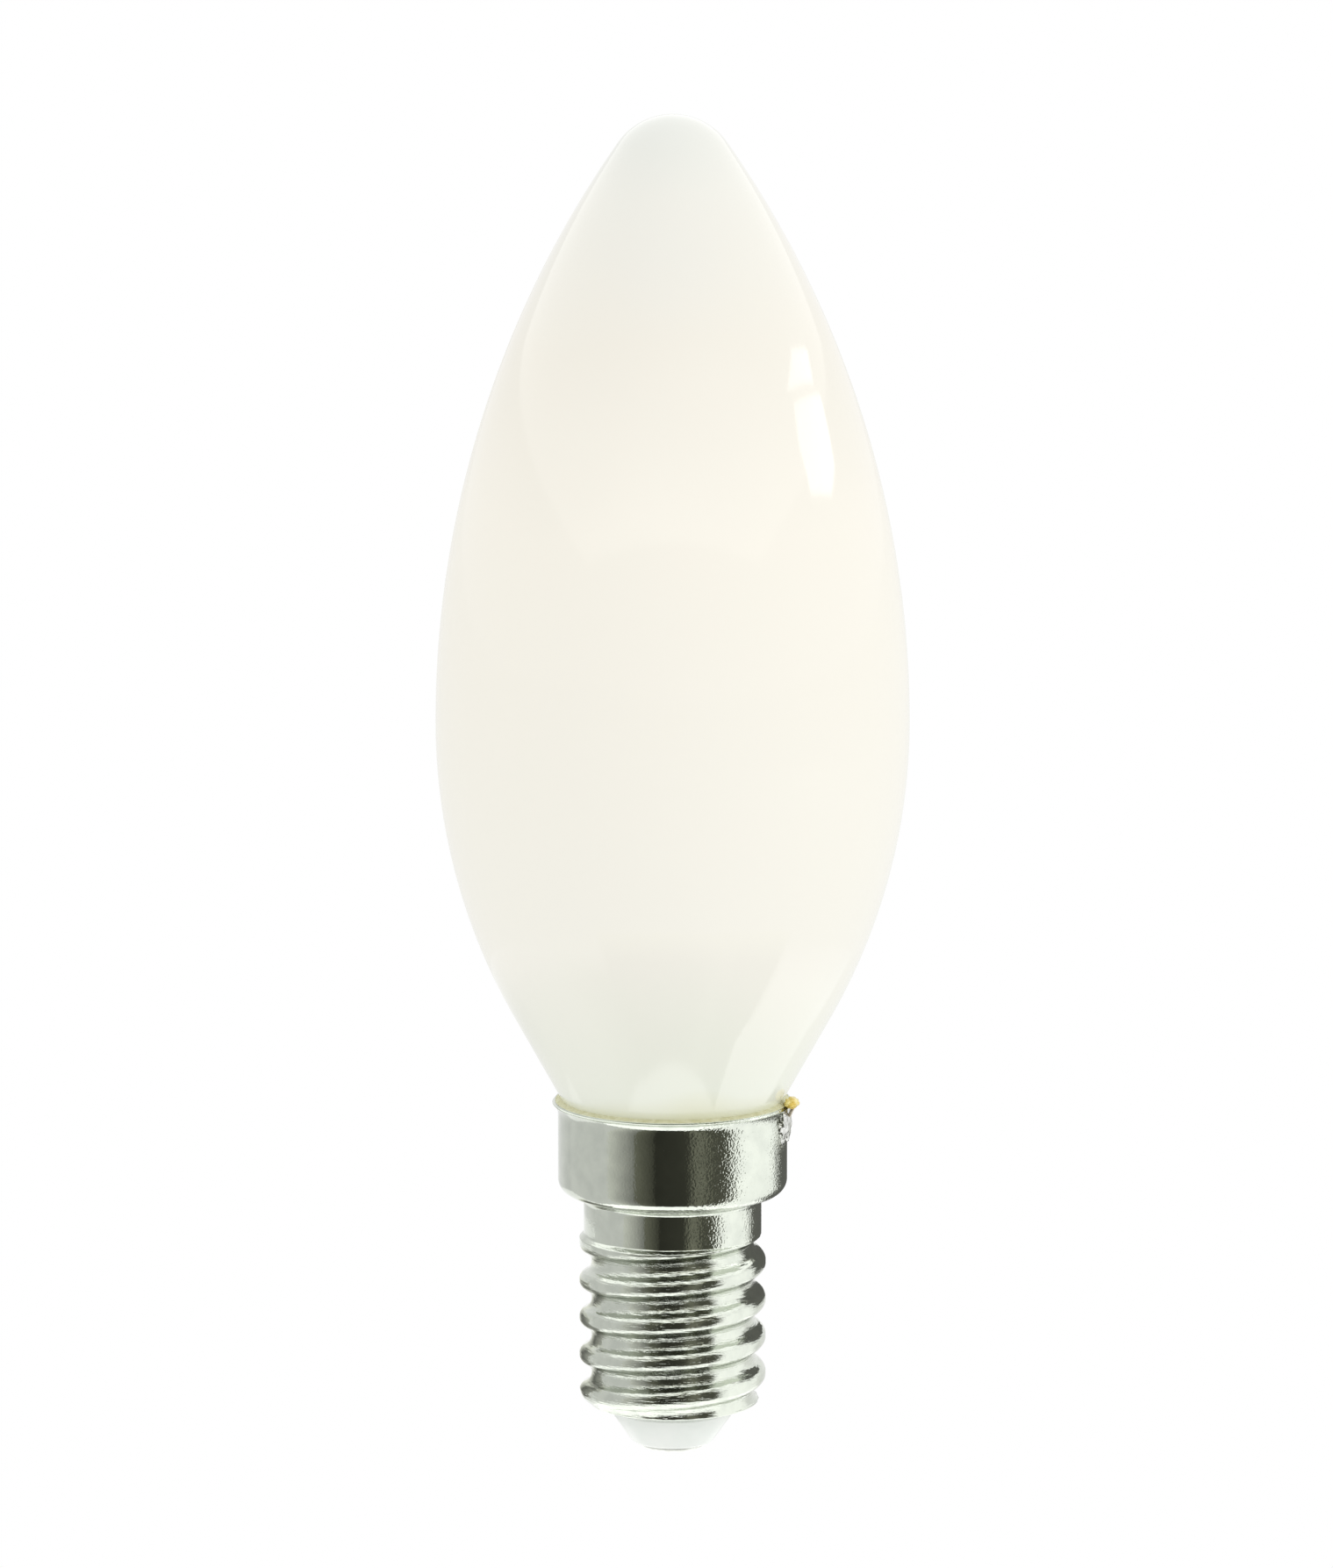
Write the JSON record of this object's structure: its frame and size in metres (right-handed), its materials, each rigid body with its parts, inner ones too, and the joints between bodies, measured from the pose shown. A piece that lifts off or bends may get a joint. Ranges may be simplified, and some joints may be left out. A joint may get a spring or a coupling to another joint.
{
  "type": "candle bulb",
  "caption": "Opal glass candle bulb with a small nickelled Edison screw cap, white insulator and a soldered side lead.",
  "frame": {"origin": "middle of the flat face of the centre contact, on the bulb's axis", "axes": "+Z along the bulb's axis from the contact to the tip, -Y towards the side the picture shows, +X to its right"},
  "size_m": [0.035, 0.035, 0.1],
  "materials": {
    "opal_glass": "opal, glossy",
    "nickelled_brass": "satin nickel plate",
    "cement": "matte",
    "white_insulator": "smooth",
    "tinned_contact": "satin tin",
    "lead_wire": "bare wire",
    "solder": "bright tin solder",
    "flux": "clear amber resin"
  },
  "bodies": {
    "root": {"glass_bulb": "opal_glass", "cap_shell": "nickelled_brass", "cement_ring": "cement", "insulator": "white_insulator", "centre_contact": "tinned_contact", "side_lead": "lead_wire", "centre_lead": "lead_wire", "side_solder": "solder", "flux_bead": "flux"}
  },
  "joints": []
}
